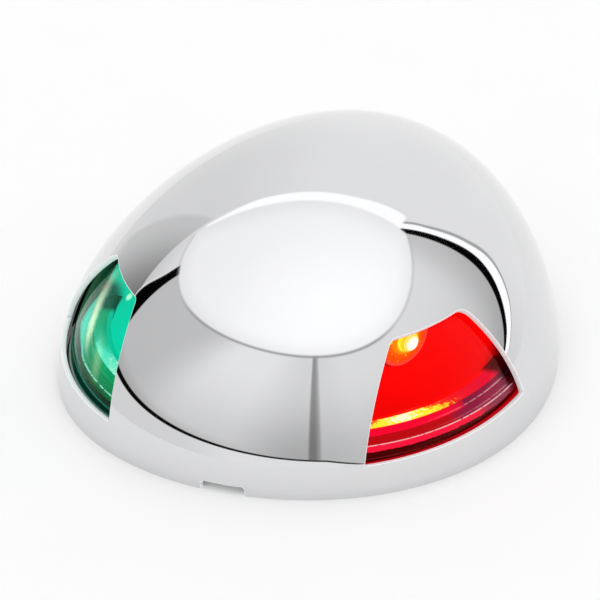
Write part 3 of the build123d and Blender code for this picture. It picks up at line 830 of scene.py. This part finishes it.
def light_tent():
    """A white light tent as a sky, in the display levels that the steel shows of it."""
    world = bpy.data.worlds.new("light_tent")
    bpy.context.scene.world = world
    world.use_nodes = True
    graph = Graph(world.node_tree)
    x, y, z = graph.xyz(graph.node("ShaderNodeTexCoord").outputs["Generated"])
    degrees = 180 / math.pi
    azimuth = graph.math("ARCTAN2", x, y * -1.0) * degrees
    elevation = graph.math("ARCSINE", z) * degrees

    def above(value, edge=0.0, soft=0.4):
        return graph.smooth(value, edge - soft, edge + soft)

    def between(value, low, high, soft=0.4):
        return above(value, low, soft) * (1.0 - above(value, high, soft))

    def lay(under, level, mask):
        """Covers the levels so far with another one where the mask is 1."""
        return under * (1.0 - mask) + mask * level

    # Edges round the tent, each as how far a direction lies inside them, in degrees.
    left_edge = azimuth + elevation * 0.902 + 69.9
    flap_edge = azimuth + elevation * 2.6 + 28.8
    right_edge = elevation * (2.86 - elevation * (0.0704 - elevation * 0.00071)) + 102.0 - azimuth
    table_edge = elevation - graph.math("MINIMUM", 9.4 - azimuth * 0.11, 16.0 - azimuth * 0.38)
    # The roof is a slanting oval with a straight back edge.
    slant = math.radians(-41.1)
    across, along = x + z * 0.277, y - z * 0.387
    long_way = (across * math.cos(slant) + along * math.sin(slant)) / 0.832
    short_way = (along * math.cos(slant) - across * math.sin(slant)) / 0.625
    oval_edge = (z - graph.math("SQRT", long_way * long_way + short_way * short_way)) * 42.0
    back_edge = (z * 0.737 - y) * 46.0
    roof_edge = graph.math("MINIMUM", oval_edge, back_edge)

    # back of the tent, open to a pale room, with a dusky patch on the left and the tent's flap beside it
    sky = 222.0 - graph.smooth(x, -0.2, -0.65) * 14.0 - graph.smooth(x, 0.45, 0.85) * 11.0
    patch = between(azimuth, -131.0, -84.0, 1.0) * graph.smooth(elevation, 2.0, 9.0)
    sky = lay(sky, 193.0 - graph.smooth(azimuth, -131.0, -100.0) * 84.0, patch)
    flap = above(flap_edge) * (1.0 - graph.smooth(left_edge, -2.0, 0.0)) * graph.smooth(elevation, 14.0, 18.0)
    sky = lay(sky, graph.smooth(elevation, 29.0, 43.0) * 24.0 + 196.0, flap)
    # front walls, brighter upwards and darker towards the slit and the sides
    climb = graph.smooth(elevation, 5.0, 65.0)
    by_slit = graph.smooth(azimuth, -22.0, 14.0)
    by_side = graph.smooth(azimuth, -42.0, -74.0)
    left_wall = 199.0 - by_slit * 32.0 - by_side * 15.0 + climb * (28.0 + by_slit * 17.0 - by_side * 22.0)
    left_wall = left_wall - graph.smooth(table_edge, 7.0, 0.0) * graph.smooth(azimuth, 0.0, -40.0) * 16.0
    right_wall = 181.0 + graph.smooth(azimuth, 24.0, 44.0) * 7.0 + climb * 31.0
    right_wall = right_wall - graph.smooth(right_edge, 26.0, -2.0) * 24.0
    right_side = above(azimuth, 20.5, 2.0)
    walls = left_wall * (1.0 - right_side) + right_wall * right_side
    # the slit between them: a dark lip, then a paler one
    lip = above(azimuth, 17.0, 0.8) * (1.0 - above(azimuth, 22.0, 0.9))
    dim = 118.0 + graph.smooth(elevation, 15.0, 64.0) * 28.0 + above(azimuth, 20.4, 1.0) * 26.0
    walls = lay(walls, dim, lip)
    sky = lay(sky, walls, above(left_edge) * above(right_edge) * above(table_edge))
    # black gaps along the walls' edges, and the bright strips beside them
    gap = (4.6 - graph.smooth(elevation, 20.0, 42.0) * 1.5) * graph.smooth(elevation, 6.0, 12.0)
    strip = gap + 8.2 - graph.smooth(elevation, 10.0, 32.0) * 5.4 + graph.smooth(elevation, 44.0, 48.0) * 0.6
    upward = above(elevation, 7.0, 1.0)
    sky = lay(sky, 160.0, above(right_edge + strip, -1.4) * (1.0 - above(right_edge)) * upward)
    sky = lay(sky, 253.0, above(right_edge + strip, 0.0) * (1.0 - above(right_edge)) * upward)
    sky = lay(sky, 3.0, above(right_edge + gap) * (1.0 - above(right_edge)) * upward)
    gap = (4.0 + graph.smooth(elevation, 40.0, 29.5) * 4.4) * graph.smooth(elevation, 25.0, 29.5) + 1.2
    upward = above(elevation, 14.0, 1.0)
    sky = lay(sky, 218.0, above(left_edge + gap, -1.1) * (1.0 - above(left_edge)) * upward)
    sky = lay(sky, 2.0, above(left_edge + gap) * (1.0 - above(left_edge)) * upward)
    # the dark line where the front walls meet the table
    line = graph.smooth(azimuth, 20.0, -70.0) * 1.3 + 1.2
    line = above(table_edge + line) * (1.0 - above(table_edge))
    line = line * above(left_edge, -4.0, 2.0) * above(right_edge, -1.5, 1.5)
    sky = lay(sky, 6.0, line * (1.0 - graph.smooth(azimuth, 30.0, 46.0) * 0.8))
    # the roof: a white strip behind it, a soft grey seam round it, palest overhead
    depth = graph.smooth(x / z, -0.95, -0.6) * 0.07 + graph.smooth(x / z, -0.15, 0.2) * 0.05 + 0.76
    strip = above((depth * z - y) * 46.0) * above(z * 0.215 - x, 0.0, 0.01) * above(x + z * 0.95, 0.0, 0.02)
    sky = lay(sky, 254.0, strip * above(z, 0.3, 0.05) * above(y, 0.3, 0.1))
    ahead = graph.smooth(y, 0.15, -0.1)
    seam = graph.smooth(roof_edge, -1.4, -0.4) * above(back_edge, 0.5, 1.0) * (0.45 + ahead * 0.45)
    sky = lay(sky, 180.0 - ahead * 30.0, seam)
    aside = graph.math("SQRT", (x - 0.1) * (x - 0.1) + y * y)
    roof = 254.0 - graph.smooth(aside, 0.05, 0.9) * 18.0 - graph.smooth(roof_edge, 7.0, 0.0) * 9.0
    sky = lay(sky, roof, above(roof_edge, 0.1, 0.6))
    radiance = graph.math("POWER", (sky / 255.0 + 0.055) / 1.055, 2.4) / STEEL
    background = graph.nodes["Background"]
    grey = graph.node("ShaderNodeCombineColor", {0: radiance, 1: radiance, 2: radiance})
    graph.put(background.inputs["Color"], grey.outputs[0])


def dress(nodes, makes):
    """Gives each CAD node its material."""
    for names, made in makes:
        for name in names:
            nodes[name].data.materials.clear()
            nodes[name].data.materials.append(made)


def both_sides(name):
    return ["port_" + name, "starboard_" + name]


def main():
    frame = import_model()
    bpy.context.scene.view_settings.view_transform = "Standard"
    nodes = frame["nodes"]
    add_camera()
    add_floor()
    light_tent()

    steel = rolled_metal("steel_screws", (0.42,) * 3, (0.62,) * 3, 0.22)
    chip = moulded_plastic("black_chip", (0.02,) * 3, (0.035,) * 3, 0.5)
    dress(nodes, [
        (["port_reflector"], lit_moulding("port_reflector_lit", (250, 1, 0), (232, 1, 0), RED_TINT)),
        (["starboard_reflector"],
         lit_moulding("starboard_reflector_lit", (10, 212, 172), (1, 190, 148), GREEN_TINT)),
        (["port_led"], lit_led("led_red_glow", RED_TINT, LED_RINGS, 1.0)),
        (["starboard_led"], lit_led("led_green_glow", GREEN_TINT, GREEN_RINGS, -1.0)),
        (["port_led_board"],
         lit_board("led_board_red", RED_TINT, LED_RINGS, 1.0, (252, 235, 60), (248, 72, 60))),
        (["starboard_led_board"],
         lit_board("led_board_green", GREEN_TINT, GREEN_RINGS, -1.0, (150, 240, 205), (20, 200, 160))),
        (both_sides("led_bracket"), rolled_metal("bare_aluminium", (0.6,) * 3, (0.76,) * 3, 0.25)),
        (both_sides("led_lead"), moulded_plastic("lead_jacket", (0.5, 0.02, 0.02), (0.62, 0.03, 0.03), 0.4)),
        (["light_housing"], moulded_plastic("black_plastic", (0.018,) * 3, (0.03,) * 3, 0.45)),
        (["base_plate"], moulded_plastic("grey_plastic", (0.36,) * 3, (0.42,) * 3, 0.45)),
        (["base_pad"], foam("foam_pad")),
        (["grip_band", "housing_seal", "cable_grommet"], rubber("black_rubber")),
        (["driver_board"], circuit_board("circuit_board", (0.01, 0.12, 0.05), (0.03, 0.22, 0.1))),
        (["driver_chip", "input_diode", "resistors"], chip),
        (["power_coil"], wound_copper("copper_coil")),
        (["smoothing_capacitor"],
         rolled_metal("can_metal", (0.55,) * 3, (0.72,) * 3, 0.25, (60.0, 60.0, 4.0))),
        (["terminal_block"],
         moulded_plastic("terminal_plastic", (0.02, 0.14, 0.42), (0.03, 0.18, 0.5), 0.4)),
        (["terminal_screws"], rolled_metal("terminal_metal", (0.6, 0.45, 0.2), (0.8, 0.62, 0.3), 0.25)),
        (["led_bracket_screws", "driver_board_screws", "housing_screws"], steel),
    ])
    for side, place, wall, foot in (
        ("port", lambda region: region, lens_looks("red_lens", RED_TINT, lit_edge),
         lit_foot("red_lens_foot", RED_TINT, PORT_FOOT)),
        ("starboard", mirrored, lens_looks("green_lens", GREEN_TINT, tall_gleam, GREEN_IOR),
         lit_foot("green_lens_foot", GREEN_TINT, STARBOARD_FOOT)),
    ):
        for piece, looks in ((lens_skin(side, place), wall), (lens_foot(side, place), [foot])):
            for made in looks:
                piece.data.materials.append(made)
            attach(piece, "base")
            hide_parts(side + "_lens")
            "red_lens" if side == "port" else "green_lens"
    cover = cover_skin()
    polished = polished_metal()
    for made in (polished, cut_metal(), polished):
        cover.data.materials.append(made)
    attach(cover, "cover")
    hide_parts("cover")


main()
